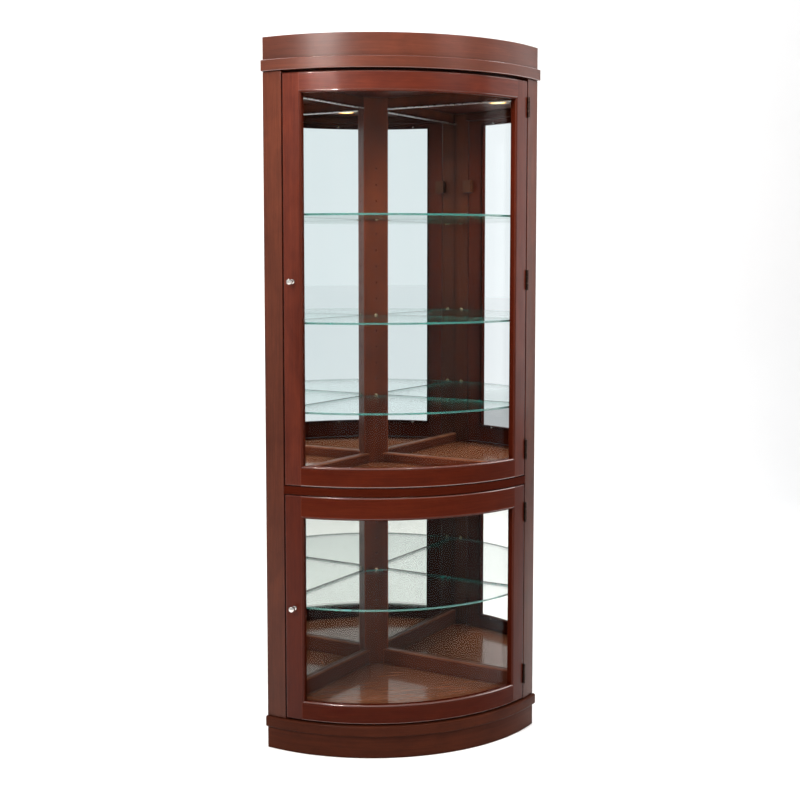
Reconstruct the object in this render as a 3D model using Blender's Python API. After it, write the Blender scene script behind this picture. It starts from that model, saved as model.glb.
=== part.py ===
"""Quarter-round corner china cabinet with two curved glass doors. Blender 4.5, metres, +Z up.

The plan is a quarter circle about a vertical line, the arc centre, near the back corner.
Front is -Y. An angle is measured about the arc centre from -Y, positive towards +X.
A place by a wall is (along, out): along the wall from the arc centre, and out through it.
"""
import math

import bmesh
import bpy
from mathutils import Matrix, Vector

# Plan
FRONT_RADIUS = 0.539        # front faces of doors, stiles, plinth and crown
MOULDING_RADIUS = 0.548     # front faces of the two projecting bands
BACK_Y = 0.005              # the flat back of the corner, behind the arc centre
WALL_OUT = 0.027            # outer face of a wall
MIRROR_OUT = 0.017          # front face of a mirror
MIRROR_THICKNESS = 0.004
BOARD = 0.018               # thickness of decks and ceiling
FASCIA = 0.020              # thickness of plinth and crown boards
BACK_START = 0.0205         # where mirrors and back panels start, along the wall
GAP = 0.0003                # between touching pieces

# Case front
STILE_DEPTH = 0.022
DECK_RADIUS = 0.5167
SHELF_RADIUS = 0.510
SHELF_OUT = 0.011
SHELF_THICKNESS = 0.006
RAIL_DEPTH = 0.012          # wooden rails at the feet of the mirrors
HEAD_RAIL_DEPTH = 0.018
HEAD_RAIL_HEIGHT = 0.026      # hangs under the ceiling, behind the upper door

# Corner post
POST_FACE = 0.0145          # its front face, in front of the arc centre
HOLE_RADIUS = 0.0032
HOLE_DEPTH = 0.010
HOLE_PITCH = 0.050
HOLE_ABOVE_SHELF = 0.0075   # from a shelf's underside to its clip's hole

# Heights
PLINTH_TOP = 0.063
BASE_TOP = 0.094
LOWER_DECK_TOP = 0.109
LOWER_RAIL_TOP = 0.158
MID_BOTTOM = 0.739
MID_DECK_TOP = 0.757
MID_RAIL_TOP = 0.762
UPPER_RAIL_TOP = 0.787
MIRROR_TOP = 1.856
CEILING = 1.8875
CROWN_BOTTOM = 1.906
CROWN_BAND_TOP = 1.937
TOP_PANEL = 1.950
TOP_PANEL_THICKNESS = 0.006
HEIGHT = 2.000
SHELF_HEIGHTS = {"shelf_upper_1": 1.513, "shelf_upper_2": 1.213, "shelf_upper_3": 0.963, "shelf_lower": 0.410}
HOLE_ROWS = ((0.2175, 0.6175), (0.8705, 1.6700))

# Doors
DOOR_THICKNESS = 0.019
DOOR_HALF_ANGLE = math.radians(41.0)
GLASS_HALF_ANGLE = math.radians(34.85)
HINGE_GAP = 0.0033          # between door and stile
PANE_THICKNESS = 0.004
PANE_OVERLAP = 0.008        # of the pane behind the frame
STOP_CLEARANCE = 0.0005     # behind the frame, in front of the pane
DOORS = {
    "upper": {"foot": 0.764, "opening": (0.820, 1.844), "head": 1.899,
              "knob": 1.3315, "catch": 1.640, "hinges": (1.825, 1.333, 0.840)},
    "lower": {"foot": 0.097, "opening": (0.152, 0.673), "head": 0.737,
              "knob": 0.417, "catch": 0.590, "hinges": (0.655, 0.171)},
}

# Hardware
HINGE_HEIGHT = 0.058
LEAF_THICKNESS = 0.0012
LEAF_DEPTH = 0.018
BARREL_RADIUS = 0.0035
WEB_INSET = 0.0002          # of a knuckle's web from its leaf's faces
BARREL_PROUD = 0.0039       # barrel axis in front of the door's face
KNOB_ANGLE = -math.radians(37.9)
LAMP_FORWARD = 0.382
LAMP_RADIUS = 0.030

ARC_STEP = math.radians(3.5)
QUARTER = math.radians(45.0)
EDGE_ANGLE = DOOR_HALF_ANGLE + HINGE_GAP / FRONT_RADIUS
CENTRE_Y = (MOULDING_RADIUS - BACK_Y) / 2.0
HINGE_ANGLE = (DOOR_HALF_ANGLE + EDGE_ANGLE) / 2.0
HINGE_RADIUS = FRONT_RADIUS + BARREL_PROUD


def clear_scene():
    for item in list(bpy.data.objects):
        bpy.data.objects.remove(item, do_unlink=True)


def finish_material(name, colour, roughness, metallic=0.0, transmission=0.0):
    """A Principled material with the piece's colour, roughness and metallic value."""
    material = bpy.data.materials.new(name)
    material.use_nodes = True
    shader = material.node_tree.nodes["Principled BSDF"]
    shader.inputs["Base Color"].default_value = (*colour, 1.0)
    shader.inputs["Roughness"].default_value = roughness
    shader.inputs["Metallic"].default_value = metallic
    shader.inputs["Transmission Weight"].default_value = transmission
    return material


def make_materials():
    return {
        "cherry": finish_material("cherry", (0.135, 0.027, 0.012), 0.28),
        "backing": finish_material("backing", (0.20, 0.11, 0.06), 0.80),
        "mirror": finish_material("mirror", (0.90, 0.93, 0.93), 0.02, metallic=1.0),
        "glass": finish_material("glass", (0.93, 0.98, 0.96), 0.02, transmission=1.0),
        "nickel": finish_material("nickel", (0.72, 0.70, 0.67), 0.20, metallic=1.0),
        "bronze": finish_material("bronze", (0.035, 0.022, 0.018), 0.45, metallic=0.8),
        "brass": finish_material("brass", (0.75, 0.56, 0.28), 0.25, metallic=1.0),
        "catch_plastic": finish_material("catch_plastic", (0.12, 0.07, 0.05), 0.50),
        "lamp_glass": finish_material("lamp_glass", (1.0, 0.86, 0.60), 0.35, transmission=0.4),
    }


# ---- Plan geometry ----

def polar(angle, radius):
    return (radius * math.sin(angle), CENTRE_Y - radius * math.cos(angle))


def by_wall(side, along, out):
    """side is 1 for the right-hand wall and -1 for the left-hand one."""
    root = math.sqrt(0.5)
    return (side * (along + out) * root, CENTRE_Y - (along - out) * root)


def arc(radius, start, stop):
    steps = max(1, round(abs(stop - start) / ARC_STEP))
    return [polar(start + (stop - start) * i / steps, radius) for i in range(steps + 1)]


def front_line(radius, out):
    """A front edge from the left wall to the right one: tangent, quarter arc, tangent."""
    return [by_wall(-1, radius, out)] + arc(radius, -QUARTER, QUARTER) + [by_wall(1, radius, out)]


def sector(radius, out, back):
    """A deck's or shelf's outline, cut off at the back, `back` in front of the arc centre."""
    half = out * math.sqrt(2.0) + back
    return front_line(radius, out) + [(half, CENTRE_Y - back), (-half, CENTRE_Y - back)]


def curved_board(inner, outer, start, stop):
    return arc(outer, start, stop) + arc(inner, stop, start)


# ---- Mesh makers ----

def add_object(name, mesh_builder, material, pivot=None):
    mesh = bpy.data.meshes.new(name)
    bmesh.ops.recalc_face_normals(mesh_builder, faces=mesh_builder.faces)
    mesh_builder.to_mesh(mesh)
    mesh_builder.free()
    mesh.materials.append(material)
    item = bpy.data.objects.new(name, mesh)
    bpy.context.collection.objects.link(item)
    if pivot:
        item.parent = pivot
        item.matrix_parent_inverse = Matrix.Translation(-pivot.location)
    return item


def prism_mesh(outline, low, high):
    builder = bmesh.new()
    base = builder.faces.new([builder.verts.new((x, y, low)) for x, y in outline])
    grown = bmesh.ops.extrude_face_region(builder, geom=[base], use_keep_orig=True)["geom"]
    top = [item for item in grown if isinstance(item, bmesh.types.BMVert)]
    bmesh.ops.translate(builder, verts=top, vec=(0.0, 0.0, high - low))
    return builder


def prism(name, outline, low, high, material, pivot=None):
    return add_object(name, prism_mesh(outline, low, high), material, pivot)


def ring_prism(name, outer, inner, low, high, material):
    """A board frame between two outlines that have one point for each other."""
    builder = bmesh.new()
    loops = [[builder.verts.new((x, y, z)) for x, y in outline]
             for outline, z in ((outer, low), (outer, high), (inner, high), (inner, low))]
    count = len(outer)
    for ring, following in zip(loops, loops[1:] + loops[:1]):
        for i in range(count):
            j = (i + 1) % count
            builder.faces.new((ring[i], ring[j], following[j], following[i]))
    return add_object(name, builder, material)


def turned_mesh(profile, steps):
    """A solid of revolution about Z. The profile's first and last points lie on the axis."""
    builder = bmesh.new()
    rings = []
    for radius, z in profile[1:-1]:
        ring = []
        for i in range(steps):
            turn = math.tau * i / steps
            ring.append(builder.verts.new((radius * math.cos(turn), radius * math.sin(turn), z)))
        rings.append(ring)
    for ring, following in zip(rings, rings[1:]):
        for i in range(steps):
            j = (i + 1) % steps
            builder.faces.new((ring[i], ring[j], following[j], following[i]))
    builder.faces.new(rings[0])
    builder.faces.new(rings[-1])
    return builder


def smooth(item, angle=35.0):
    item.data.shade_smooth()
    item.data.set_sharp_from_angle(angle=math.radians(angle))


def combine(target, tool, operation):
    """Join or cut a solid with another one, which is only a guide."""
    tool.hide_render = True
    tool.display_type = "WIRE"
    modifier = target.modifiers.new(operation.lower(), "BOOLEAN")
    modifier.operation = operation
    modifier.solver = "EXACT"
    modifier.object = tool


# ---- Case ----

def make_plinth_and_crown(wood):
    inner_out = WALL_OUT - FASCIA
    outer = sector(FRONT_RADIUS, WALL_OUT, -BACK_Y)
    inner = sector(FRONT_RADIUS - FASCIA, inner_out, POST_FACE + FASCIA)
    ring_prism("plinth", outer, inner, 0.0, PLINTH_TOP - GAP, wood)
    ring_prism("crown", outer, inner, CROWN_BAND_TOP + GAP, HEIGHT, wood)


def make_mouldings(wood):
    outline = front_line(MOULDING_RADIUS, WALL_OUT) + front_line(FRONT_RADIUS - FASCIA, WALL_OUT)[::-1]
    prism("base_moulding", outline, PLINTH_TOP, BASE_TOP, wood)
    prism("crown_moulding", outline, CROWN_BOTTOM, CROWN_BAND_TOP, wood)


def make_decks(wood, backing):
    outline = sector(DECK_RADIUS, MIRROR_OUT + MIRROR_THICKNESS, POST_FACE + GAP)
    prism("lower_deck", outline, LOWER_DECK_TOP - BOARD, LOWER_DECK_TOP, wood)
    prism("mid_deck", outline, MID_BOTTOM, MID_DECK_TOP, wood)
    ceiling = prism("ceiling_panel", outline, CEILING, CEILING + BOARD, wood)
    hole = turned_guide("lamp_hole", LAMP_RADIUS + GAP, CEILING - BOARD, CEILING + 2 * BOARD)
    hole.location = (0.0, CENTRE_Y - LAMP_FORWARD, 0.0)
    combine(ceiling, hole, "DIFFERENCE")
    top = sector(FRONT_RADIUS - FASCIA - 2 * GAP, WALL_OUT - FASCIA - GAP, POST_FACE + FASCIA + GAP)
    prism("top_panel", top, TOP_PANEL, TOP_PANEL + TOP_PANEL_THICKNESS, backing)


def turned_guide(name, radius, low, high):
    profile = [(0.0, low), (radius, low), (radius, high), (0.0, high)]
    return add_object(name, turned_mesh(profile, 32), bpy.data.materials["backing"])


def make_case_rails(wood):
    reach = EDGE_ANGLE - GAP / FRONT_RADIUS
    outline = curved_board(DECK_RADIUS + 2 * GAP, FRONT_RADIUS, -reach, reach)
    prism("mid_rail", outline, MID_BOTTOM, MID_RAIL_TOP, wood)
    outline = curved_board(DECK_RADIUS - HEAD_RAIL_DEPTH, DECK_RADIUS, -DOOR_HALF_ANGLE, DOOR_HALF_ANGLE)
    prism("head_rail", outline, CEILING - HEAD_RAIL_HEIGHT, CEILING - GAP, wood)


def make_stile(name, side, wood):
    back = FRONT_RADIUS - STILE_DEPTH
    inner_radius = back / math.cos(QUARTER - EDGE_ANGLE)
    outline = arc(FRONT_RADIUS, side * EDGE_ANGLE, side * QUARTER)
    outline += [by_wall(side, FRONT_RADIUS, WALL_OUT), by_wall(side, back, WALL_OUT)]
    outline.append(polar(side * EDGE_ANGLE, inner_radius))
    prism(name, outline, BASE_TOP + GAP, CROWN_BOTTOM - GAP, wood)


def hole_heights():
    heights = []
    for first, last in HOLE_ROWS:
        count = int((last - first) / HOLE_PITCH + 0.5)
        heights += [first + HOLE_PITCH * i for i in range(count + 1)]
    return heights


def make_corner_post(wood):
    """The diagonal board in the corner, with a column of shelf-pin holes in its face."""
    side_out = MIRROR_OUT - GAP
    front_half = side_out * math.sqrt(2.0) + POST_FACE
    back_half = side_out * math.sqrt(2.0) - BACK_Y
    front_y = CENTRE_Y - POST_FACE
    back_y = CENTRE_Y + BACK_Y
    outline = [(-front_half, front_y), (front_half, front_y), (back_half, back_y), (-back_half, back_y)]
    post = prism("corner_post", outline, PLINTH_TOP, CROWN_BAND_TOP, wood)
    builder = bmesh.new()
    for z in hole_heights():
        place = Matrix.Translation((0.0, front_y, z)) @ Matrix.Rotation(math.pi / 2.0, 4, "X")
        bmesh.ops.create_cone(builder, cap_ends=True, segments=10, radius1=HOLE_RADIUS,
                              radius2=HOLE_RADIUS, depth=2 * HOLE_DEPTH, matrix=place)
    combine(post, add_object("pin_holes", builder, wood), "DIFFERENCE")


def make_back_panel(name, side, backing):
    end = DECK_RADIUS
    out = MIRROR_OUT + MIRROR_THICKNESS + GAP
    outline = [by_wall(side, BACK_START, out), by_wall(side, end, out),
               by_wall(side, end, WALL_OUT), by_wall(side, BACK_START, WALL_OUT)]
    prism(name, outline, PLINTH_TOP, CROWN_BAND_TOP, backing)


def make_mirror(name, side, low, high, mirror):
    out = MIRROR_OUT + MIRROR_THICKNESS
    outline = [by_wall(side, BACK_START, MIRROR_OUT), by_wall(side, DECK_RADIUS, MIRROR_OUT),
               by_wall(side, DECK_RADIUS, out), by_wall(side, BACK_START, out)]
    prism(name, outline, low + GAP, high - GAP, mirror)


def make_mirror_rail(name, side, low, high, wood):
    """A wooden rail at a mirror's foot, mitred against the corner post."""
    out = MIRROR_OUT - GAP
    mitre = (POST_FACE + GAP) * math.sqrt(2.0)
    outline = [by_wall(side, mitre + out - RAIL_DEPTH, out - RAIL_DEPTH),
               by_wall(side, DECK_RADIUS - RAIL_DEPTH / 2, out - RAIL_DEPTH),
               by_wall(side, DECK_RADIUS - RAIL_DEPTH / 2, out), by_wall(side, mitre + out, out)]
    prism(name, outline, low + GAP, high, wood)


def make_back(materials):
    for word, side in (("left", -1), ("right", 1)):
        make_back_panel(f"back_panel_{word}", side, materials["backing"])
        make_mirror(f"mirror_upper_{word}", side, MID_DECK_TOP, MIRROR_TOP, materials["mirror"])
        make_mirror(f"mirror_lower_{word}", side, LOWER_DECK_TOP, MID_BOTTOM, materials["mirror"])
        make_mirror_rail(f"mirror_rail_upper_{word}", side, MID_DECK_TOP, UPPER_RAIL_TOP, materials["cherry"])
        make_mirror_rail(f"mirror_rail_lower_{word}", side, LOWER_DECK_TOP, LOWER_RAIL_TOP, materials["cherry"])


# ---- Shelves, lamp and catches ----

def make_shelf_clip(name, shelf_underside, brass):
    """An L-shaped clip: a plate on the post, a ledge under the shelf and a stem in the hole."""
    plate = 0.0015
    half_width = 0.006
    face = POST_FACE + GAP
    low = shelf_underside - GAP - plate
    profile = [(face, low), (face + 0.014, low), (face + 0.014, low + plate), (face + plate, low + plate),
               (face + plate, low + 0.016), (face, low + 0.016)]
    builder = bmesh.new()
    base = builder.faces.new([builder.verts.new((-half_width, CENTRE_Y - f, z)) for f, z in profile])
    grown = bmesh.ops.extrude_face_region(builder, geom=[base], use_keep_orig=True)["geom"]
    side = [item for item in grown if isinstance(item, bmesh.types.BMVert)]
    bmesh.ops.translate(builder, verts=side, vec=(2 * half_width, 0.0, 0.0))
    clip = add_object(name, builder, brass)
    builder = bmesh.new()
    place = Matrix.Translation((0.0, CENTRE_Y - face + 0.0035, shelf_underside + HOLE_ABOVE_SHELF))
    bmesh.ops.create_cone(builder, cap_ends=True, segments=10, radius1=HOLE_RADIUS - 2 * GAP,
                          radius2=HOLE_RADIUS - 2 * GAP, depth=0.009,
                          matrix=place @ Matrix.Rotation(math.pi / 2.0, 4, "X"))
    combine(clip, add_object(f"{name}_stem", builder, brass), "UNION")


def make_shelves(materials):
    outline = sector(SHELF_RADIUS, SHELF_OUT, POST_FACE + 0.0025)
    for name, underside in SHELF_HEIGHTS.items():
        prism(name, outline, underside, underside + SHELF_THICKNESS, materials["glass"])
        make_shelf_clip(f"{name}_clip", underside, materials["brass"])


def make_lamp(materials):
    """A lamp canister set in the ceiling, with its flange under it and a lens inside."""
    wall = 0.0015
    flange = 0.0015
    low = CEILING - GAP - flange
    inside = LAMP_RADIUS - wall
    top = CEILING + 0.060
    profile = [(0.0, top), (LAMP_RADIUS, top), (LAMP_RADIUS, low + flange), (LAMP_RADIUS + 0.008, low + flange),
               (LAMP_RADIUS + 0.008, low), (inside, low), (inside, top - wall), (0.0, top - wall)]
    canister = add_object("lamp_canister", turned_mesh(profile, 32), materials["brass"])
    lens = [(0.0, CEILING + 0.012), (inside - GAP, CEILING + 0.012), (inside - GAP, CEILING + 0.008),
            (inside * 0.6, CEILING + 0.005), (0.0, CEILING + 0.005)]
    pane = add_object("lamp_lens", turned_mesh(lens, 32), materials["lamp_glass"])
    for item in (canister, pane):
        item.location = (0.0, CENTRE_Y - LAMP_FORWARD, 0.0)
        smooth(item)


def make_catch(word, height, materials, pivot):
    """A magnetic catch behind the left stile, and its strike plate on the door's back."""
    half = 0.020
    stile_back = FRONT_RADIUS - STILE_DEPTH - GAP
    outline = curved_board(stile_back - 0.016, stile_back, -math.radians(42.6), -math.radians(39.2))
    prism(f"catch_{word}", outline, height - half, height + half, materials["catch_plastic"])
    door_back = FRONT_RADIUS - DOOR_THICKNESS - GAP
    outline = curved_board(door_back - 0.0012, door_back, -math.radians(40.7), -math.radians(39.0))
    prism(f"strike_{word}", outline, height - half, height + half, materials["nickel"], pivot)


# ---- Doors ----

def make_door_frame(word, door, wood, pivot):
    inner = FRONT_RADIUS - DOOR_THICKNESS
    for name, side in (("hinge_stile", 1), ("knob_stile", -1)):
        outline = curved_board(inner, FRONT_RADIUS, side * GLASS_HALF_ANGLE, side * DOOR_HALF_ANGLE)
        prism(f"{word}_door_{name}", outline, door["foot"], door["head"], wood, pivot)
    reach = GLASS_HALF_ANGLE - GAP / inner
    outline = curved_board(inner, FRONT_RADIUS, -reach, reach)
    prism(f"{word}_door_bottom_rail", outline, door["foot"], door["opening"][0], wood, pivot)
    prism(f"{word}_door_top_rail", outline, door["opening"][1], door["head"], wood, pivot)


def make_door_pane(word, door, glass, pivot):
    outer = FRONT_RADIUS - DOOR_THICKNESS - STOP_CLEARANCE
    reach = GLASS_HALF_ANGLE + PANE_OVERLAP / outer
    outline = curved_board(outer - PANE_THICKNESS, outer, -reach, reach)
    low, high = door["opening"]
    prism(f"{word}_door_glass", outline, low - PANE_OVERLAP, high + PANE_OVERLAP, glass, pivot)


def make_knob(word, height, nickel, pivot):
    """A turned mushroom knob, pointing straight out of the curved door."""
    profile = [(0.0, 0.0), (0.0065, 0.0), (0.0065, 0.0012), (0.0040, 0.0035), (0.0032, 0.0070),
               (0.0036, 0.0120), (0.0060, 0.0150), (0.0082, 0.0170), (0.0085, 0.0190), (0.0076, 0.0212),
               (0.0048, 0.0230), (0.0, 0.0240)]
    profile.insert(-1, (0.0016, 0.0238))
    knob = add_object(f"{word}_door_knob", turned_mesh(profile, 16), nickel, pivot)
    x, y = polar(KNOB_ANGLE, FRONT_RADIUS + GAP)
    outward = Vector((math.sin(KNOB_ANGLE), -math.cos(KNOB_ANGLE), 0.0))
    knob.rotation_euler = outward.to_track_quat("Z", "Y").to_euler()
    knob.location = (x, y, height)
    smooth(knob)


# ---- Hinges ----

def from_hinge(u, w):
    """u runs from the door towards the stile, w runs outward, from the barrel's axis."""
    x, y = polar(HINGE_ANGLE, HINGE_RADIUS + w)
    return (x + u * math.cos(HINGE_ANGLE), y + u * math.sin(HINGE_ANGLE))


def knuckle_outline(near, far):
    """The barrel's circle with the web that joins it to its leaf, a little thinner than the leaf."""
    low, high = sorted((near, far))
    low += WEB_INSET
    high -= WEB_INSET
    start = -math.acos(high / BARREL_RADIUS)
    stop = math.tau - math.acos(low / BARREL_RADIUS)
    steps = 12
    points = [(low, -0.0060), (high, -0.0060)]
    for i in range(steps + 1):
        turn = start + (stop - start) * i / steps
        points.append((BARREL_RADIUS * math.cos(turn), BARREL_RADIUS * math.sin(turn)))
    return [from_hinge(u, w) for u, w in points]


def make_leaf(name, near, far, low, knuckles, bronze, pivot=None):
    front = -BARREL_PROUD - GAP
    outline = [from_hinge(near, front - LEAF_DEPTH), from_hinge(far, front - LEAF_DEPTH),
               from_hinge(far, front), from_hinge(near, front)]
    leaf = prism(name, outline, low, low + HINGE_HEIGHT, bronze, pivot)
    third = HINGE_HEIGHT / 3.0
    for i in knuckles:
        tool = prism(f"{name}_knuckle_{i}", knuckle_outline(near, far),
                     low + third * i + GAP / 2, low + third * (i + 1) - GAP / 2, bronze, pivot)
        combine(leaf, tool, "UNION")


def make_hinges(word, heights, bronze, pivot):
    clear = GAP / 2
    for number, height in enumerate(heights, start=1):
        low = height - HINGE_HEIGHT / 2.0
        make_leaf(f"{word}_hinge_{number}_case_leaf", clear, clear + LEAF_THICKNESS, low, (0, 2), bronze)
        make_leaf(f"{word}_hinge_{number}_door_leaf", -clear, -clear - LEAF_THICKNESS, low, (1,), bronze, pivot)


def make_pivot(name):
    """The empty that a door hangs on, on its hinge line."""
    pivot = bpy.data.objects.new(name, None)
    bpy.context.collection.objects.link(pivot)
    pivot.location = (*polar(HINGE_ANGLE, HINGE_RADIUS), 0.0)
    return pivot


def make_door(word, materials):
    door = DOORS[word]
    pivot = make_pivot(f"{word}_door_pivot")
    make_door_frame(word, door, materials["cherry"], pivot)
    make_door_pane(word, door, materials["glass"], pivot)
    make_knob(word, door["knob"], materials["nickel"], pivot)
    make_catch(word, door["catch"], materials, pivot)
    make_hinges(word, door["hinges"], materials["bronze"], pivot)


def main():
    clear_scene()
    materials = make_materials()
    wood = materials["cherry"]
    make_plinth_and_crown(wood)
    make_mouldings(wood)
    make_decks(wood, materials["backing"])
    make_case_rails(wood)
    make_stile("stile_left", -1, wood)
    make_stile("stile_right", 1, wood)
    make_corner_post(wood)
    make_back(materials)
    make_shelves(materials)
    make_lamp(materials)
    for word in DOORS:
        make_door(word, materials)


main()
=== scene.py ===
import math

import bmesh
import bpy
from mathutils import Matrix, Vector


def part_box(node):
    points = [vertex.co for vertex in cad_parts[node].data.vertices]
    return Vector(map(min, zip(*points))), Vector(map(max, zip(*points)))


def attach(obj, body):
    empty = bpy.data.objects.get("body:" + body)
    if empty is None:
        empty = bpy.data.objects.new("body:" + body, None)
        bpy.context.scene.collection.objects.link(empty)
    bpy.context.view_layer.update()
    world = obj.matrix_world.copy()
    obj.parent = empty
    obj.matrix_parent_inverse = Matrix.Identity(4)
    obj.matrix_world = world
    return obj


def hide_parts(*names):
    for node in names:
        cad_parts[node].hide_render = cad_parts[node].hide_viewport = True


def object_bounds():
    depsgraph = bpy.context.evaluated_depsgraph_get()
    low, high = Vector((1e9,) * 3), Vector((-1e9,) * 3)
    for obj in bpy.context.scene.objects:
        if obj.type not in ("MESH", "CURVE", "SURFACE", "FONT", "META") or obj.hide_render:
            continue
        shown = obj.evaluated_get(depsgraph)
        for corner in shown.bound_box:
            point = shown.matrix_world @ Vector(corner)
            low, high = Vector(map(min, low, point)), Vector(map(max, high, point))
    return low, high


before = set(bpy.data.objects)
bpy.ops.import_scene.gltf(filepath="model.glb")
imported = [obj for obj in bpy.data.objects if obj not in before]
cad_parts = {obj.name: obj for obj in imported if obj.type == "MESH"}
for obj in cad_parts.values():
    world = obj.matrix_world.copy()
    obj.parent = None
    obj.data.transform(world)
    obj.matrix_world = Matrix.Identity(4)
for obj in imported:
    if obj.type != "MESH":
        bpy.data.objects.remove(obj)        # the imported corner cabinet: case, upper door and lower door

cad_low, cad_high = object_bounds()

# ---- Driving dimensions, in metres, as the frame has them ----
# The plan is a quarter circle about the arc centre. An angle is measured about it from -Y,
# positive towards +X. A place by a wall is (along, out): along the wall and out through it.
FRONT_RADIUS = 0.539
MOULDING_RADIUS = 0.548
BACK_Y = 0.005
WALL_OUT = 0.027
MIRROR_OUT = 0.017
MIRROR_THICKNESS = 0.004
BACK_START = 0.0205
FASCIA = 0.020
STILE_DEPTH = 0.022
DOOR_THICKNESS = 0.019
DECK_RADIUS = 0.5167
SHELF_RADIUS = 0.510
SHELF_OUT = 0.011
POST_FACE = 0.0145
RAIL_DEPTH = 0.012
HINGE_GAP = 0.0033
BARREL_PROUD = 0.0039
BARREL_RADIUS = 0.0035
LEAF_THICKNESS = 0.0012
LEAF_DEPTH = 0.018
GAP = 0.0003                # clearance between neighbouring pieces
ARRIS = 0.0006              # the small rounding of edges that are left plain
PANE_THICKNESS = 0.004
PANE_GAP = 0.0005           # between a door frame's back and its pane
PANE_OVERLAP = 0.008        # of the pane past the door's opening
SHELF_POST_GAP = 0.0025
CLIP_INSET = 0.010          # of the front clips, from the wall line
TRIM_DEPTH = 0.0028
TRIM_HEIGHT = 0.0045
NOSE_RADIUS = 0.0045
BOARD_JOINT = 0.00012       # half of the fine joint between two boards of a door frame
DOOR_ROUND = 0.0032
BEAD_ROUND = 0.0044
NAIL_MARGIN = 0.018         # from a back panel's foot and head
NAIL_START = 0.034          # from the arc centre, along the wall
NAIL_END_MARGIN = 0.012
NAIL_SPACING = 0.095
NAIL_ROWS = 15
BUTTON_MARGIN = 0.0025      # of the turn buttons, from the pane's foot and head
BUTTON_SHARE = 0.42         # of the glass's half angle, between two turn buttons
HINGE_ROUND = 0.0006
CENTRE_Y = cad_high.y - BACK_Y
QUARTER = math.radians(45.0)
DOOR_HALF_ANGLE = math.radians(41.0)
GLASS_HALF_ANGLE = math.radians(34.85)
EDGE_ANGLE = DOOR_HALF_ANGLE + HINGE_GAP / FRONT_RADIUS
HINGE_ANGLE = (DOOR_HALF_ANGLE + EDGE_ANGLE) / 2.0
HINGE_RADIUS = FRONT_RADIUS + BARREL_PROUD
KNOB_ANGLE = -math.radians(37.9)
BEAD = 0.0065               # width of the bead round each door's glass
FINE = math.radians(1.0)    # step of every visible arc
ROOT_HALF = math.sqrt(0.5)
MITRE = (POST_FACE + GAP) * math.sqrt(2.0)   # along the wall, where a mirror's rail and trim start
LEVELS = ("upper", "lower")
SHELVES = ("shelf_upper_1", "shelf_upper_2", "shelf_upper_3", "shelf_lower")
HINGES = {"upper": (1, 2, 3), "lower": (1, 2)}


# ---- Looks: how far the painted shade in corners and the painted highlight on thin edges reach, and where the painted shade towards the foot ends ----
CORNER_SHADE_REACH = 0.014
EDGE_HIGHLIGHT_REACH = 0.004
OCCLUSION_SAMPLES = 12
SHADE_TOP = 1.9

# ---- The camera's place ----
CAMERA_PLACE = (-0.9493, -3.8326, 1.400)
CAMERA_TILT = 4.885         # degrees down from level
CAMERA_TURN = 14.088        # degrees to the right of +Y


def span(node):
    """The lowest and highest z of a CAD node."""
    low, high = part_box(node)
    return low.z, high.z


# ---- Camera and studio ----

def make_camera():
    data = bpy.data.cameras.new("camera")
    data.lens = 60.72
    data.sensor_width = 36.0
    data.shift_y = -0.035
    camera = bpy.data.objects.new("camera", data)
    bpy.context.collection.objects.link(camera)
    camera.location = CAMERA_PLACE
    camera.rotation_euler = (math.radians(90.0 - CAMERA_TILT), 0.0, -math.radians(CAMERA_TURN))
    bpy.context.scene.camera = camera


def area_light(name, azimuth, distance, height, size, power, colour, aim, mirrored=True):
    """A soft box round the cabinet. Azimuth is measured from the front, positive to the right.

    A box that is not mirrored lights the wood and shines on it, but stays out of mirrors and glass.
    """
    data = bpy.data.lights.new(name, "AREA")
    data.shape = "RECTANGLE"
    data.size, data.size_y = size
    data.energy = power
    data.color = colour
    data.cycles.use_multiple_importance_sampling = mirrored
    light = bpy.data.objects.new(name, data)
    bpy.context.collection.objects.link(light)
    turn = math.radians(azimuth)
    light.location = (distance * math.sin(turn), -distance * math.cos(turn), height)
    light.rotation_euler = (Vector(aim) - light.location).to_track_quat("-Z", "Y").to_euler()


def make_lights():
    crown_high, middle = (0.0, 0.0, 1.8), (0.0, 0.0, 1.3)
    area_light("front_right_box", 36.0, 3.2, 3.05, (1.10, 1.3), 34.0, (1.0, 0.92, 0.92),
               crown_high, mirrored=False)
    area_light("left_box", -46.0, 3.2, 2.95, (1.00, 1.2), 150.0, (1.0, 0.92, 0.88),
               crown_high, mirrored=False)
    area_light("right_wall_box", 84.0, 2.8, 1.8, (2.2, 2.4), 38.0, (1.0, 0.94, 0.93), middle)
    area_light("left_wall_box", -84.0, 3.2, 1.9, (2.2, 2.6), 9.0, (0.97, 0.98, 1.0), middle)
    area_light("overhead_box", 0.0, 1.3, 3.7, (2.4, 1.2), 78.0, (1.0, 0.96, 0.90),
               crown_high, mirrored=False)
    area_light("front_fill", -18.0, 6.5, 2.2, (5.6, 4.4), 36.0, (0.96, 0.985, 1.0), (0.0, 0.0, 2.0))
    area_light("backdrop_light", 180.0, 1.4, 5.4, (7.0, 1.0), 170.0, (1.0, 1.0, 1.0), (0.0, 4.2, 0.6))
    make_cabinet_lamp()


def make_cabinet_lamp():
    """The warm lamp under the ceiling, just below its canister."""
    lamp = bpy.data.lights.new("cabinet_lamp", "SPOT")
    lamp.energy = 9.0
    lamp.color = (1.0, 0.80, 0.55)
    lamp.spot_size = math.radians(150.0)
    lamp.spot_blend = 0.8
    lamp.shadow_soft_size = 0.02
    item = bpy.data.objects.new("cabinet_lamp", lamp)
    bpy.context.collection.objects.link(item)
    low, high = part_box("lamp_lens")
    item.location = ((low.x + high.x) / 2, (low.y + high.y) / 2, span("lamp_canister")[0] - 0.002)


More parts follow.
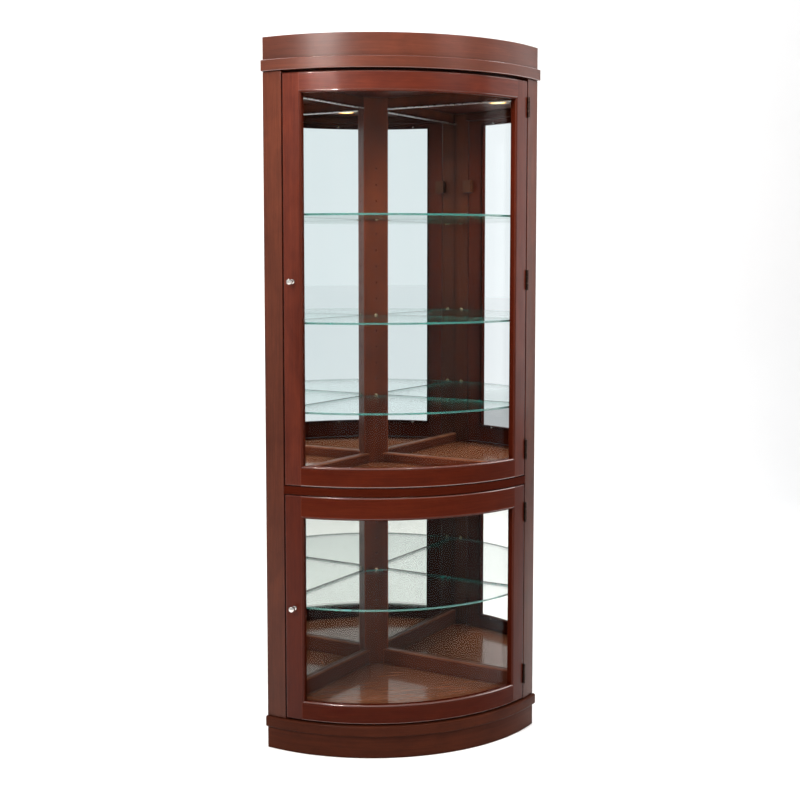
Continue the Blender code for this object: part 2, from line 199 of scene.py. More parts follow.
def make_world():
    world = bpy.data.worlds.new("studio")
    world.use_nodes = True
    background = world.node_tree.nodes["Background"]
    background.inputs["Color"].default_value = (0.93, 0.97, 1.0, 1.0)
    background.inputs["Strength"].default_value = 0.52
    bpy.context.scene.world = world


def make_floor():
    """A pale floor that curves up into a backdrop."""
    half, front, back, bend, top = 40.0, -60.0, 4.5, 1.5, 7.0
    line = [(front, 0.0), (back - bend, 0.0)]
    for i in range(1, 13):
        turn = math.pi / 2 * i / 12
        line.append((back - bend + bend * math.sin(turn), bend - bend * math.cos(turn)))
    line.append((back, top))
    mesh = bmesh.new()
    rows = [[mesh.verts.new((x, y, z - 0.0005)) for x in (-half, half)] for y, z in line]
    for row, following in zip(rows, rows[1:]):
        mesh.faces.new((row[0], row[1], following[1], following[0]))
    data = bpy.data.meshes.new("floor")
    mesh.to_mesh(data)
    mesh.free()
    data.shade_smooth()
    floor = bpy.data.objects.new("floor", data)
    bpy.context.collection.objects.link(floor)
    data.materials.append(floor_material())


# ---- Node helpers ----

class Nodes:
    """A small helper that adds nodes to a material and links them."""

    def __init__(self, tree):
        self.tree = tree

    def add(self, kind, inputs=None, **settings):
        node = self.tree.nodes.new(kind)
        for key, value in settings.items():
            setattr(node, key, value)
        for key, value in (inputs or {}).items():
            self.feed(node.inputs[key], value)
        return node

    def feed(self, socket, value):
        if isinstance(value, bpy.types.NodeSocket):
            self.tree.links.new(value, socket)
        else:
            socket.default_value = value

    def math(self, operation, first, second=0.0):
        return self.add("ShaderNodeMath", {0: first, 1: second}, operation=operation).outputs[0]

    def vector(self, x, y, z):
        return self.add("ShaderNodeCombineXYZ", {0: x, 1: y, 2: z}).outputs[0]

    def stretch(self, vector, factors):
        node = self.add("ShaderNodeVectorMath", {0: vector, 1: factors}, operation="MULTIPLY")
        return node.outputs[0]

    def noise(self, vector, scale, detail=3.0, roughness=0.5, distortion=0.0):
        node = self.add("ShaderNodeTexNoise", {"Vector": vector, "Scale": scale, "Detail": detail,
                                               "Roughness": roughness, "Distortion": distortion})
        return node.outputs["Fac"]

    def occlusion(self, reach, inside):
        """How open the surface is: 1 in the open, 0 in a tight corner or, inside, at a thin edge."""
        node = self.add("ShaderNodeAmbientOcclusion", {"Distance": reach},
                        samples=OCCLUSION_SAMPLES, inside=inside)
        return node.outputs["AO"]

    def span(self, value, low, high, to_low=0.0, to_high=1.0):
        node = self.add("ShaderNodeMapRange", {"Value": value, "From Min": low, "From Max": high,
                                               "To Min": to_low, "To Max": to_high})
        return node.outputs["Result"]

    def mix(self, factor, first, second):
        node = self.add("ShaderNodeMix", data_type="RGBA")
        self.feed(node.inputs["Factor"], factor)
        self.feed(node.inputs["A"], first)
        self.feed(node.inputs["B"], second)
        return node.outputs["Result"]


def rgb(red, green, blue):
    return (red, green, blue, 1.0)


def new_material(name):
    material = bpy.data.materials.new(name)
    material.use_nodes = True
    nodes = Nodes(material.node_tree)
    shader = material.node_tree.nodes["Principled BSDF"]
    return material, nodes, shader


def settle(shader, **values):
    """Sets plain values on the shader's own sockets, such as coat_weight=0.3."""
    for key, value in values.items():
        shader.inputs[key.replace("_", " ").title().replace("Ior", "IOR")].default_value = value


# ---- Wood ----

def grain_coordinates(nodes, run):
    """Coordinates with X along the grain. run is upright, arc, deck, left or right."""
    place = nodes.add("ShaderNodeTexCoord").outputs["Object"]
    part = nodes.add("ShaderNodeSeparateXYZ", {0: place}).outputs
    x, z = part[0], part[2]
    forward = nodes.math("SUBTRACT", CENTRE_Y, part[1])
    if run == "upright":
        return nodes.vector(z, x, forward)
    if run == "arc":
        angle = nodes.math("ARCTAN2", x, forward)
        squares = nodes.math("ADD", nodes.math("MULTIPLY", x, x),
                             nodes.math("MULTIPLY", forward, forward))
        length = nodes.math("MULTIPLY", angle, FRONT_RADIUS)
        return nodes.vector(length, nodes.math("SQRT", squares), z)
    if run == "deck":
        return nodes.vector(x, forward, z)
    across = x if run == "right" else nodes.math("MULTIPLY", x, -1.0)
    along = nodes.math("MULTIPLY", nodes.math("ADD", across, forward), ROOT_HALF)
    out = nodes.math("MULTIPLY", nodes.math("SUBTRACT", across, forward), ROOT_HALF)
    return nodes.vector(along, z, out)


def wood_material(name, run, light, dark, roughness=0.36, coat=0.18, coat_roughness=0.16,
                  coat_ior=1.5, specular=0.10, relief=0.10, foot_shade=0.50):
    """Stained cherry: soft figure, streaks and pores along the grain, painted shade in corners, and thin
    edges painted lighter as a painted highlight.

    The colour is painted darker towards the foot of the cabinet, a painted shade, by a given share.
    """
    material, nodes, shader = new_material(name)
    chance = nodes.add("ShaderNodeObjectInfo").outputs["Random"]
    shift = nodes.vector(nodes.math("MULTIPLY", chance, 11.0), nodes.math("MULTIPLY", chance, 5.0),
                         nodes.math("MULTIPLY", chance, 7.0))
    grain = grain_coordinates(nodes, run)
    base = nodes.add("ShaderNodeVectorMath", {0: grain, 1: shift}, operation="ADD").outputs[0]
    # The glaze colour darkens the pores, and it is also the painted shade in corners and towards the foot.
    glaze_and_shade = rgb(*[c * 0.25 for c in dark])
    streak = rgb(*[c * 0.42 for c in dark])
    # Thin edges are painted lighter: a painted highlight.
    painted_edge_highlight = rgb(*[min(1.0, c * 1.5 + 0.012) for c in light])
    clouds = nodes.noise(nodes.stretch(base, (0.30, 1.0, 1.0)), 7.0, 3.0, 0.55, 0.4)
    bands = nodes.noise(nodes.stretch(base, (0.045, 1.0, 1.0)), 58.0, 4.0, 0.6, 0.6)
    streaks = nodes.noise(nodes.stretch(base, (0.030, 1.0, 1.0)), 330.0, 5.0, 0.6)
    pores = nodes.noise(nodes.stretch(base, (0.035, 1.0, 1.0)), 1150.0, 2.0, 0.5)
    mottle = nodes.noise(nodes.stretch(base, (0.55, 1.0, 1.0)), 17.0, 4.0, 0.62, 0.8)
    figure = nodes.math("ADD", nodes.math("MULTIPLY", clouds, 0.42), nodes.math("MULTIPLY", bands, 0.28))
    figure = nodes.math("ADD", figure, nodes.math("MULTIPLY", mottle, 0.30))
    colour = nodes.mix(nodes.span(figure, 0.36, 0.62), rgb(*dark), rgb(*light))
    colour = nodes.mix(nodes.span(streaks, 0.35, 0.70, 0.0, 0.38), colour, streak)
    colour = nodes.mix(nodes.span(pores, 0.60, 0.74, 0.0, 0.45), colour, glaze_and_shade)
    # Painted shade: the colour grows darker towards the foot of the cabinet.
    place = nodes.add("ShaderNodeTexCoord").outputs["Object"]
    height = nodes.add("ShaderNodeSeparateXYZ", {0: place}).outputs[2]
    colour = nodes.mix(nodes.span(height, 0.0, SHADE_TOP, foot_shade, 0.0), colour, glaze_and_shade)
    # Painted shade: corners and crevices darkened by ambient occlusion.
    corner = nodes.occlusion(CORNER_SHADE_REACH, inside=False)
    colour = nodes.mix(nodes.span(corner, 0.35, 0.95, 0.55, 0.0), colour, glaze_and_shade)
    # Painted highlight: thin edges lighter, in patches, found by inside ambient occlusion.
    edge = nodes.occlusion(EDGE_HIGHLIGHT_REACH, inside=True)
    patchy = nodes.span(clouds, 0.35, 0.65, 0.3, 1.0)
    painted_edge_share = nodes.math("MULTIPLY", nodes.span(edge, 0.25, 0.80, 0.55, 0.0), patchy)
    colour = nodes.mix(painted_edge_share, colour, painted_edge_highlight)
    nodes.feed(shader.inputs["Base Color"], colour)
    smear = nodes.noise(nodes.stretch(base, (0.5, 1.0, 1.0)), 21.0, 3.0)
    nodes.feed(shader.inputs["Roughness"], nodes.span(smear, 0.3, 0.7, roughness - 0.05, roughness + 0.06))
    peel = nodes.noise(base, 190.0, 2.0)
    surface = nodes.math("ADD", nodes.math("MULTIPLY", streaks, 0.6), nodes.math("MULTIPLY", peel, 0.4))
    bump = nodes.add("ShaderNodeBump", {"Height": surface, "Strength": relief, "Distance": 0.0006})
    nodes.feed(shader.inputs["Normal"], bump.outputs["Normal"])
    settle(shader, specular_ior_level=specular, coat_weight=coat, coat_roughness=coat_roughness,
           coat_ior=coat_ior)
    return material


# ---- Glass, metal and the rest ----

def clear_glass_material(name, tint, share):
    """Thin clear glass: it mirrors more the flatter it is looked at, and lets the rest through."""
    material, nodes, shader = new_material(name)
    facing = nodes.add("ShaderNodeLayerWeight", {"Blend": 0.5}).outputs["Facing"]
    slant = nodes.math("MULTIPLY", nodes.math("POWER", facing, 5.0), 0.9)
    place = nodes.add("ShaderNodeTexCoord").outputs["Object"]
    dust = nodes.span(nodes.noise(place, 9.0, 4.0, 0.6), 0.5, 0.8, 0.0, 0.003)
    nodes.feed(shader.inputs["Alpha"], nodes.math("ADD", nodes.math("ADD", slant, share), dust))
    cloud = nodes.noise(place, 3.0)
    nodes.feed(shader.inputs["Base Color"], nodes.mix(cloud, rgb(*tint), rgb(*[c * 0.97 for c in tint])))
    settle(shader, metallic=1.0, roughness=0.0)
    return material


def glass_edge_material():
    """The polished edge of green float glass, where the light is gathered."""
    material, nodes, shader = new_material("shelf_edge_glass")
    place = nodes.add("ShaderNodeTexCoord").outputs["Object"]
    cloud = nodes.noise(place, 14.0, 3.0)
    colour = nodes.mix(cloud, rgb(0.008, 0.085, 0.068), rgb(0.035, 0.210, 0.175))
    nodes.feed(shader.inputs["Base Color"], colour)
    nodes.feed(shader.inputs["Alpha"], nodes.span(cloud, 0.3, 0.7, 0.70, 0.86))
    settle(shader, roughness=0.08, specular_ior_level=0.8, coat_weight=0.5, coat_roughness=0.04)
    return material


def mirror_material(name, light, dark):
    """Mirror glass with a faint uneven haze."""
    material, nodes, shader = new_material(name)
    place = nodes.add("ShaderNodeTexCoord").outputs["Object"]
    haze = nodes.noise(place, 5.0, 4.0, 0.6)
    nodes.feed(shader.inputs["Base Color"], nodes.mix(haze, rgb(*dark), rgb(*light)))
    nodes.feed(shader.inputs["Roughness"], nodes.span(haze, 0.4, 0.7, 0.0, 0.006))
    settle(shader, metallic=1.0)
    return material


def metal_material(name, light, dark, roughness):
    """A metal with fine brushing and soft tarnish."""
    material, nodes, shader = new_material(name)
    place = nodes.add("ShaderNodeTexCoord").outputs["Object"]
    tarnish = nodes.noise(place, 160.0, 4.0, 0.6)
    brushed = nodes.noise(nodes.stretch(place, (1.0, 1.0, 0.08)), 2600.0, 2.0)
    colour = nodes.mix(nodes.span(tarnish, 0.35, 0.7), rgb(*light), rgb(*dark))
    nodes.feed(shader.inputs["Base Color"], colour)
    nodes.feed(shader.inputs["Roughness"], nodes.span(tarnish, 0.3, 0.7, roughness, roughness + 0.12))
    bump = nodes.add("ShaderNodeBump", {"Height": brushed, "Strength": 0.06, "Distance": 0.0002})
    nodes.feed(shader.inputs["Normal"], bump.outputs["Normal"])
    settle(shader, metallic=1.0)
    return material


def board_material():
    """Brown hardboard, with pressed fibres and specks."""
    material, nodes, shader = new_material("hardboard")
    place = nodes.add("ShaderNodeTexCoord").outputs["Object"]
    fibre = nodes.noise(nodes.stretch(place, (1.0, 1.0, 0.35)), 420.0, 5.0, 0.7, 1.2)
    cloud = nodes.noise(place, 5.0, 4.0, 0.6)
    specks = nodes.noise(place, 900.0, 1.0)
    colour = nodes.mix(nodes.span(cloud, 0.35, 0.65), rgb(0.085, 0.042, 0.022), rgb(0.125, 0.066, 0.035))
    colour = nodes.mix(nodes.span(fibre, 0.35, 0.7, 0.0, 0.5), colour, rgb(0.19, 0.11, 0.062))
    colour = nodes.mix(nodes.span(specks, 0.62, 0.75, 0.0, 0.6), colour, rgb(0.03, 0.015, 0.008))
    nodes.feed(shader.inputs["Base Color"], colour)
    nodes.feed(shader.inputs["Roughness"], nodes.span(fibre, 0.3, 0.7, 0.62, 0.80))
    bump = nodes.add("ShaderNodeBump", {"Height": fibre, "Strength": 0.25, "Distance": 0.0004})
    nodes.feed(shader.inputs["Normal"], bump.outputs["Normal"])
    settle(shader, specular_ior_level=0.3)
    return material


def plastic_material():
    material, nodes, shader = new_material("brown_plastic")
    place = nodes.add("ShaderNodeTexCoord").outputs["Object"]
    grit = nodes.noise(place, 1500.0, 2.0)
    tone = nodes.noise(place, 60.0, 3.0)
    colour = nodes.mix(tone, rgb(0.058, 0.020, 0.011), rgb(0.078, 0.027, 0.015))
    nodes.feed(shader.inputs["Base Color"], colour)
    nodes.feed(shader.inputs["Roughness"], nodes.span(grit, 0.3, 0.7, 0.42, 0.55))
    bump = nodes.add("ShaderNodeBump", {"Height": grit, "Strength": 0.15, "Distance": 0.0002})
    nodes.feed(shader.inputs["Normal"], bump.outputs["Normal"])
    settle(shader, specular_ior_level=0.15)
    return material


def lamp_material():
    material, nodes, shader = new_material("lamp_glow")
    place = nodes.add("ShaderNodeTexCoord").outputs["Object"]
    frost = nodes.noise(place, 900.0, 2.0)
    nodes.feed(shader.inputs["Base Color"], nodes.mix(frost, rgb(1.0, 0.86, 0.62), rgb(1.0, 0.92, 0.76)))
    nodes.feed(shader.inputs["Roughness"], nodes.span(frost, 0.3, 0.7, 0.35, 0.5))
    settle(shader, emission_color=(1.0, 0.80, 0.50, 1.0), emission_strength=14.0)
    return material


def floor_material():
    material, nodes, shader = new_material("pale_floor")
    place = nodes.add("ShaderNodeTexCoord").outputs["Object"]
    cloud = nodes.noise(place, 1.2, 3.0)
    nodes.feed(shader.inputs["Base Color"], nodes.mix(cloud, rgb(0.83, 0.83, 0.83), rgb(0.87, 0.87, 0.87)))
    settle(shader, roughness=0.75, specular_ior_level=0.2)
    return material


def make_materials():
    """Every material by its key. A wood's pair of colours is its light and its dark figure."""
    red, deep = (0.113, 0.0192, 0.0072), (0.050, 0.0068, 0.0024)
    # The lower door's wood is a darker copy of the door wood: a painted shade.
    low = (0.090, 0.0128, 0.0038)
    shaded = (0.076, 0.0150, 0.0068)
    head = (0.103, 0.0240, 0.0102)
    case, case_dark = (0.120, 0.0288, 0.0122), (0.052, 0.0122, 0.0054)
    foot, foot_dark = (0.098, 0.0225, 0.0090), (0.043, 0.0100, 0.0044)
    brown, dusk = (0.140, 0.033, 0.0125), (0.062, 0.0135, 0.0055)
    # The tan is a lighter copy of the wood, painted light on the upward-facing decks and rail noses.
    tan, tan_dark = (0.300, 0.116, 0.056), (0.215, 0.076, 0.035)
    return {
        "stile": wood_material("cherry_stile", "upright", case, case_dark, coat=0.14, foot_shade=0.58),
        "crown": wood_material("cherry_crown", "arc", head, case_dark, coat=0.30, coat_roughness=0.32),
        "foot": wood_material("cherry_foot", "arc", foot, foot_dark, coat=0.03, specular=0.03),
        "upright": wood_material("cherry_upright", "upright", red, deep, coat=0.14),
        "arc": wood_material("cherry_arc", "arc", red, deep, coat=0.18),
        "low_upright": wood_material("cherry_shaded_low_upright", "upright", low, deep, coat=0.10, specular=0.08),
        # The bead's wood is a darker copy of the door wood: a painted shade.
        "bead": wood_material("cherry_bead", "upright", shaded, deep, coat=0.08, specular=0.06),
        "low_arc": wood_material("cherry_shaded_low_arc", "arc", low, deep, coat=0.03, specular=0.03),
        "mid": wood_material("cherry_shaded", "arc", deep, deep, 0.40, 0.01, specular=0.01),
        # Rounded edges: a glossier coat, and a lighter colour that is a painted highlight.
        "edge": wood_material("cherry_glossy_lit_edge", "arc", case, red, 0.20, 1.0, 0.08, 2.1, relief=0.03),
        "edge_upright": wood_material("cherry_upright_edge", "upright", red, deep, 0.24, 0.5, relief=0.03),
        "post": wood_material("cherry_post", "upright", brown, dusk, 0.34, 0.08, foot_shade=0.15),
        "deck": wood_material("cherry_lit_deck", "deck", tan, tan_dark, 0.10, 0.5, relief=0.015),
        # The ceiling and head rail get a darker copy of the wood: a painted shade.
        "ceiling": wood_material("cherry_shaded_ceiling", "deck", dusk, deep, 0.40, 0.1),
        "left": wood_material("cherry_left", "left", brown, dusk, 0.45, 0.04),
        "right": wood_material("cherry_right", "right", brown, dusk, 0.45, 0.04),
        # The rail's nose and top: lighter wood, a painted highlight.
        "nose": wood_material("cherry_lit_rail_nose", "deck", tan, brown, 0.42, 0.06),
        "board": board_material(),
        "pane": clear_glass_material("pane_glass", (0.97, 0.98, 1.0), 0.004),
        "shelf": clear_glass_material("shelf_glass", (0.88, 0.97, 0.94), 0.035),
        "shelf_edge": glass_edge_material(),
        "mirror_upper": mirror_material("silvered_mirror", (0.90, 0.93, 0.925), (0.86, 0.91, 0.91)),
        "mirror_lower": mirror_material("shaded_mirror", (0.715, 0.745, 0.725), (0.66, 0.69, 0.67)),
        "nickel": metal_material("polished_nickel", (0.70, 0.67, 0.63), (0.50, 0.47, 0.43), 0.06),
        "bronze": metal_material("dark_bronze", (0.050, 0.032, 0.025), (0.022, 0.014, 0.012), 0.38),
        "brass": metal_material("clip_brass", (0.56, 0.44, 0.29), (0.34, 0.24, 0.14), 0.20),
        "trim": metal_material("bright_trim", (0.90, 0.89, 0.87), (0.78, 0.77, 0.75), 0.22),
        "plastic": plastic_material(),
        "lamp": lamp_material(),
    }


# ---- Plan geometry ----

def polar(angle, radius):
    """A point about the arc centre."""
    return (radius * math.sin(angle), CENTRE_Y - radius * math.cos(angle))


def by_wall(side, along, out):
    """A point by a wall. side is -1 for the left wall and 1 for the right."""
    return (side * (along + out) * ROOT_HALF, CENTRE_Y - (along - out) * ROOT_HALF)


def arc(radius, start, stop):
    steps = max(1, round(abs(stop - start) / FINE))
    return [polar(start + (stop - start) * i / steps, radius) for i in range(steps + 1)]


def front_line(radius, out):
    """The curved front from wall to wall, with a short straight end at each wall."""
    return [by_wall(-1, radius, out)] + arc(radius, -QUARTER, QUARTER) + [by_wall(1, radius, out)]


def sector(radius, out, back):
    """The whole plan: the curved front, two walls, and a flat corner, back in front of the arc centre."""
    half = out * math.sqrt(2.0) + back
    return front_line(radius, out) + [(half, CENTRE_Y - back), (-half, CENTRE_Y - back)]


# ---- Mesh makers ----

def prism(outline, low, high):
    """A closed solid with a flat top and bottom, as a bmesh."""
    mesh = bmesh.new()
    rings = [[mesh.verts.new((x, y, z)) for x, y in outline] for z in (low, high)]
    count = len(outline)
    for i in range(count):
        j = (i + 1) % count
        mesh.faces.new((rings[0][i], rings[0][j], rings[1][j], rings[1][i]))
    mesh.faces.new(rings[0])
    mesh.faces.new(rings[1])
    bmesh.ops.recalc_face_normals(mesh, faces=mesh.faces)
    return mesh


def loop_solid(loops):
    """A closed solid from loops that have the same number of points, the last joined to the first."""
    mesh = bmesh.new()
    rings = [[mesh.verts.new(point) for point in loop] for loop in loops]
    count = len(loops[0])
    for ring, following in zip(rings, rings[1:] + rings[:1]):
        for i in range(count):
            j = (i + 1) % count
            mesh.faces.new((ring[i], ring[j], following[j], following[i]))
    bmesh.ops.recalc_face_normals(mesh, faces=mesh.faces)
    return mesh


def turned(profile, steps):
    """A solid of revolution about Z. The profile's first and last points lie on the axis."""
    mesh = bmesh.new()
    add_turned(mesh, profile, Matrix(), steps)
    return mesh


def add_turned(mesh, profile, place, steps):
    """Adds a solid of revolution about the Z axis of place."""
    poles = [mesh.verts.new(place @ Vector((0.0, 0.0, profile[i][1]))) for i in (0, -1)]
    rings = []
    for radius, z in profile[1:-1]:
        turns = [math.tau * i / steps for i in range(steps)]
        points = [Vector((radius * math.cos(t), radius * math.sin(t), z)) for t in turns]
        rings.append([mesh.verts.new(place @ point) for point in points])
    made = []
    for i in range(steps):
        j = (i + 1) % steps
        made.append(mesh.faces.new((poles[0], rings[0][j], rings[0][i])))
        made.append(mesh.faces.new((poles[1], rings[-1][i], rings[-1][j])))
        for ring, following in zip(rings, rings[1:]):
            made.append(mesh.faces.new((ring[i], ring[j], following[j], following[i])))
    bmesh.ops.recalc_face_normals(mesh, faces=made)


def add_box(mesh, place, low, high):
    """Adds a closed box between two corners, moved by place."""
    size = [b - a for a, b in zip(low, high)]
    middle = [(a + b) / 2 for a, b in zip(low, high)]
    scale = Matrix.Diagonal((*size, 1.0))
    bmesh.ops.create_cube(mesh, size=1.0, matrix=place @ Matrix.Translation(middle) @ scale)


def soften(mesh, width, angle=35.0, segments=3, only=None, slot=None):
    """Rounds over the sharp edges. only picks which of them, and slot is the new faces' material."""
    sharp = [edge for edge in mesh.edges
             if len(edge.link_faces) == 2 and edge.calc_face_angle(0.0) > math.radians(angle)
             and (only is None or only(edge))]
    made = bmesh.ops.bevel(mesh, geom=sharp, offset=width, segments=segments, profile=0.5,
                           affect="EDGES", clamp_overlap=True)["faces"]
    if slot is not None:
        for face in made:
            face.material_index = slot


def finish_piece(name, mesh, material, body, replaced=(), extra=()):
    """Turns a bmesh into a piece that rides a body and stands for CAD nodes."""
    data = bpy.data.meshes.new(name)
    mesh.to_mesh(data)
    mesh.free()
    data.shade_smooth()
    data.set_sharp_from_angle(angle=math.radians(50.0))
    for item in (material, *extra):
        data.materials.append(item)
    piece = bpy.data.objects.new(name, data)
    bpy.context.collection.objects.link(piece)
    weighted = piece.modifiers.new("weighted", "WEIGHTED_NORMAL")
    weighted.keep_sharp = True
    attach(piece, body)
    if replaced:
        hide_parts(*replaced)


# ---- Case ----

def make_ring_board(name, node, wood, edge):
    """Plinth or crown: a curved front board with a straight board behind each end."""
    low, high = span(node)
    outer = sector(FRONT_RADIUS, WALL_OUT, -BACK_Y)
    inner = sector(FRONT_RADIUS - FASCIA, WALL_OUT - FASCIA, POST_FACE + FASCIA)
    loops = [[(x, y, z) for x, y in outline]
             for outline, z in ((outer, low), (outer, high), (inner, high), (inner, low))]
    mesh = loop_solid(loops)
    soften(mesh, 0.0016, slot=1)
    finish_piece(name, mesh, wood, "root", [node], [edge])


def make_band(name, node, round_over, wood, edge):
    """A projecting moulding. Its two front edges are rounded over."""
    low, high = span(node)
    outline = front_line(MOULDING_RADIUS, WALL_OUT) + front_line(FRONT_RADIUS - FASCIA, WALL_OUT)[::-1]
    mesh = prism(outline, low, high)

    def on_front(line):
        middle = (line.verts[0].co + line.verts[1].co) / 2
        level = abs(line.verts[0].co.z - line.verts[1].co.z) < 1e-6
        return level and math.hypot(middle.x, middle.y - CENTRE_Y) > MOULDING_RADIUS - 0.002

    soften(mesh, round_over, segments=4, only=on_front, slot=1)
    soften(mesh, ARRIS, angle=60.0, segments=1)
    finish_piece(name, mesh, wood, "root", [node], [edge])


def make_stile(name, side, materials):
    """An upright of the case, from the door's gap to the wall."""
    low, high = span(name)
    back = FRONT_RADIUS - STILE_DEPTH
    inner_radius = back / math.cos(QUARTER - EDGE_ANGLE)
    outline = arc(FRONT_RADIUS, side * EDGE_ANGLE, side * QUARTER)
    outline += [by_wall(side, FRONT_RADIUS, WALL_OUT), by_wall(side, back, WALL_OUT)]
    outline.append(polar(side * EDGE_ANGLE, inner_radius))
    mesh = prism(outline, low, high)
    soften(mesh, 0.0014, slot=1)
    finish_piece(f"{name}_board", mesh, materials["stile"], "root",
                 [name], [materials["edge_upright"]])


def make_mid_rail(materials):
    """The curved rail between the two doors."""
    low, high = span("mid_rail")
    reach = EDGE_ANGLE - GAP / FRONT_RADIUS
    outline = arc(FRONT_RADIUS, -reach, reach) + arc(DECK_RADIUS + 2 * GAP, reach, -reach)
    mesh = prism(outline, low, high)
    soften(mesh, 0.0018)
    finish_piece("mid_rail_board", mesh, materials["mid"], "root", ["mid_rail"])


def make_mirror_rail(level, word, side, materials):
    """The wooden rail at a mirror's foot, with a rounded nose on top."""
    node = f"mirror_rail_{level}_{word}"
    low, high = span(node)
    out = MIRROR_OUT - GAP
    end = DECK_RADIUS - RAIL_DEPTH / 2
    outline = [by_wall(side, MITRE + out - RAIL_DEPTH, out - RAIL_DEPTH),
               by_wall(side, end, out - RAIL_DEPTH),
               by_wall(side, end, out), by_wall(side, MITRE + out, out)]
    mesh = prism(outline, low, high)
    top = high - 0.0001

    def nose(line):
        points = [vert.co for vert in line.verts]
        outs = [side * point.x * ROOT_HALF - (CENTRE_Y - point.y) * ROOT_HALF for point in points]
        return min(point.z for point in points) > top and max(outs) < out - RAIL_DEPTH / 2

    soften(mesh, NOSE_RADIUS, segments=5, only=nose, slot=1)
    soften(mesh, ARRIS, angle=60.0, segments=1)
    # The top and the rounded nose get the lighter nose wood: a painted highlight.
    for face in mesh.faces:
        if face.normal.z > 0.5:
            face.material_index = 1
    finish_piece(f"{node}_board", mesh, materials[word], "root",
                 [node], [materials["nose"]])


def make_mirror_trim(level, word, side, materials):
    """The thin bright strip that holds a mirror's upper edge."""
    high = span(f"mirror_{level}_{word}")[1]
    out = MIRROR_OUT - GAP
    front = out - TRIM_DEPTH
    start = MITRE + out
    end = DECK_RADIUS - GAP
    outline = [by_wall(side, start, front), by_wall(side, end, front),
               by_wall(side, end, out), by_wall(side, start, out)]
    mesh = prism(outline, high - TRIM_HEIGHT, high - GAP)
    soften(mesh, 0.0010)
    finish_piece(f"mirror_trim_{level}_{word}", mesh, materials["trim"], "root")


def make_back_panel(word, side, materials):
    """A thin board, stained inside and left brown behind."""
    node = f"back_panel_{word}"
    low, high = span(node)
    front = MIRROR_OUT + MIRROR_THICKNESS + GAP
    outline = [by_wall(side, BACK_START, front), by_wall(side, DECK_RADIUS, front),
               by_wall(side, DECK_RADIUS, WALL_OUT), by_wall(side, BACK_START, WALL_OUT)]
    mesh = prism(outline, low, high)
    soften(mesh, 0.0005, segments=2)
    inward = Vector((-side * ROOT_HALF, -ROOT_HALF, 0.0))
    for face in mesh.faces:
        face.material_index = 1 if face.normal.dot(inward) > 0.9 else 0
    finish_piece(f"{node}_board", mesh, materials["board"], "root",
                 [node], [materials["post"]])


def make_nails(word, side, materials):
    """Small nail heads along the edges of a back panel."""
    low, high = span(f"back_panel_{word}")
    mesh = bmesh.new()
    facing = Vector((side * ROOT_HALF, ROOT_HALF, 0.0))
    turn = facing.to_track_quat("Z", "X").to_matrix().to_4x4()
    head = [(0.0, -0.0006), (0.0020, -0.0006), (0.0021, 0.0002), (0.0015, 0.0005), (0.0, 0.0006)]
    run = high - low - 2 * NAIL_MARGIN
    places = [(along, low + NAIL_MARGIN + run * i / (NAIL_ROWS - 1))
              for along in (NAIL_START, DECK_RADIUS - NAIL_END_MARGIN) for i in range(NAIL_ROWS)]
    places += [(NAIL_START + NAIL_SPACING * i, z)
               for i in range(1, 5) for z in (low + NAIL_MARGIN, high - NAIL_MARGIN)]
    for along, z in places:
        x, y = by_wall(side, along, WALL_OUT)
        add_turned(mesh, head, Matrix.Translation((x, y, z)) @ turn, 12)
    finish_piece(f"back_nails_{word}", mesh, materials["bronze"], "root")


def make_case(materials):
    make_ring_board("plinth_board", "plinth", materials["foot"], materials["foot"])
    make_ring_board("crown_board", "crown", materials["crown"], materials["edge"])
    make_band("base_band", "base_moulding", 0.0050, materials["foot"], materials["foot"])
    make_band("crown_band", "crown_moulding", 0.0018, materials["crown"], materials["edge"])
    make_mid_rail(materials)
    for word, side in (("left", -1), ("right", 1)):
        make_stile(f"stile_{word}", side, materials)
        make_back_panel(word, side, materials)
        make_nails(word, side, materials)
        for level in LEVELS:
            make_mirror_rail(level, word, side, materials)
            make_mirror_trim(level, word, side, materials)


# ---- Shelves ----

def make_shelf(node, materials):
    """A glass shelf. Its rim has the green of a polished edge."""
    low, high = span(node)
    mesh = prism(sector(SHELF_RADIUS, SHELF_OUT, POST_FACE + SHELF_POST_GAP), low, high)
    soften(mesh, 0.0010)
    for face in mesh.faces:
        face.material_index = 0 if abs(face.normal.z) > 0.95 else 1
    finish_piece(f"{node}_pane", mesh, materials["shelf"], "root",
                 [node], [materials["shelf_edge"]])


def clip_mesh(place):
    """An L-shaped shelf clip in its own frame: +Z up, +Y out from the wood, origin under the shelf."""
    mesh = bmesh.new()
    plate, half, ledge, tall = 0.0015, 0.0048, 0.013, 0.0125
    profile = [(0.0, 0.0), (ledge, 0.0), (ledge, plate), (plate, plate), (plate, tall), (0.0, tall)]
    rings = [[mesh.verts.new((x, f, z - plate - GAP)) for f, z in profile] for x in (-half, half)]
    for i in range(len(profile)):
        j = (i + 1) % len(profile)
        mesh.faces.new((rings[0][i], rings[0][j], rings[1][j], rings[1][i]))
    mesh.faces.new(rings[0])
    mesh.faces.new(rings[1])
    bmesh.ops.recalc_face_normals(mesh, faces=mesh.faces)
    soften(mesh, 0.0005, segments=2)
    stem = Matrix.Translation((0.0, 0.0, 0.0075)) @ Matrix.Rotation(math.pi / 2, 4, "X")
    pin = [(0.0, -0.0026), (0.0016, -0.0025), (0.0026, -0.0015), (0.0026, 0.008), (0.0, 0.008)]
    add_turned(mesh, pin, stem, 20)
    bmesh.ops.transform(mesh, matrix=place, verts=mesh.verts)
    return mesh


